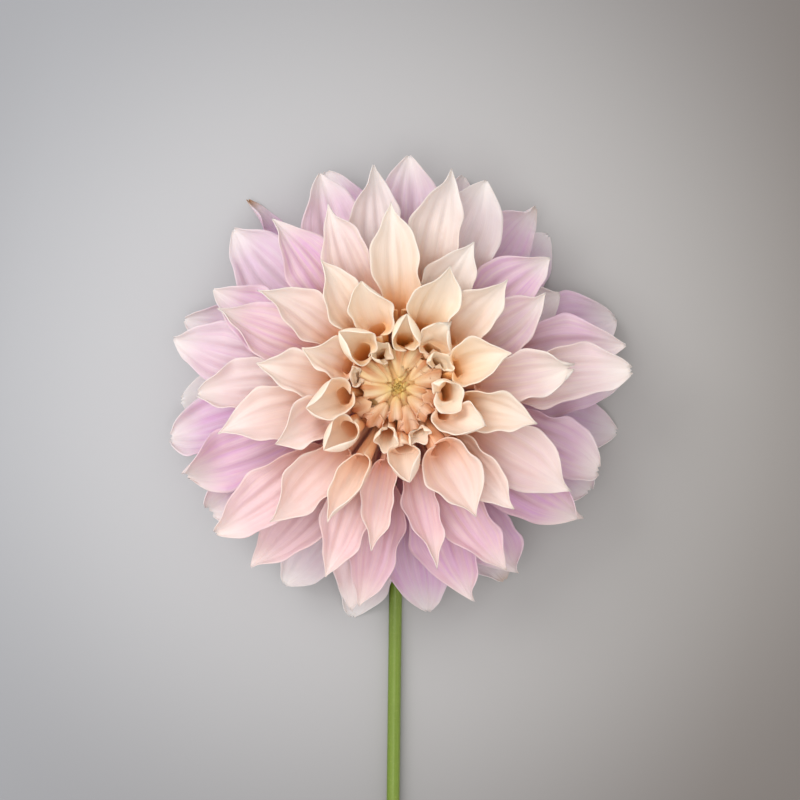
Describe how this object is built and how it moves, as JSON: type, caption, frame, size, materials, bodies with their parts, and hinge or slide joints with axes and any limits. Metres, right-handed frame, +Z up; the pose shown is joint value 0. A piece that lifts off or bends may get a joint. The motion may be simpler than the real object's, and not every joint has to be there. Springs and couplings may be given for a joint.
{
  "type": "dinner plate dahlia",
  "caption": "Single cut dahlia bloom lying face up with its bare stem along the surface: layered ray petals round a closed heart of small florets.",
  "frame": {"origin": "on the surface that the flower lies on, below the middle of its length and width", "axes": "+Z up, the way the bloom faces; +Y from the cut end of the stem towards the bloom"},
  "size_m": [0.2312, 0.4152, 0.0855],
  "materials": {
    "petals": "soft matt petal, cream and peach near the heart to blush and lilac outside",
    "florets": "soft matt closed florets, cream with a yellow middle",
    "bracts": "matt green",
    "stem": "satin fresh yellow-green plant stem"
  },
  "bodies": {
    "root": {"ray_petals": "petals", "heart_florets": "florets", "calyx": "bracts", "stem": "stem"}
  },
  "joints": []
}
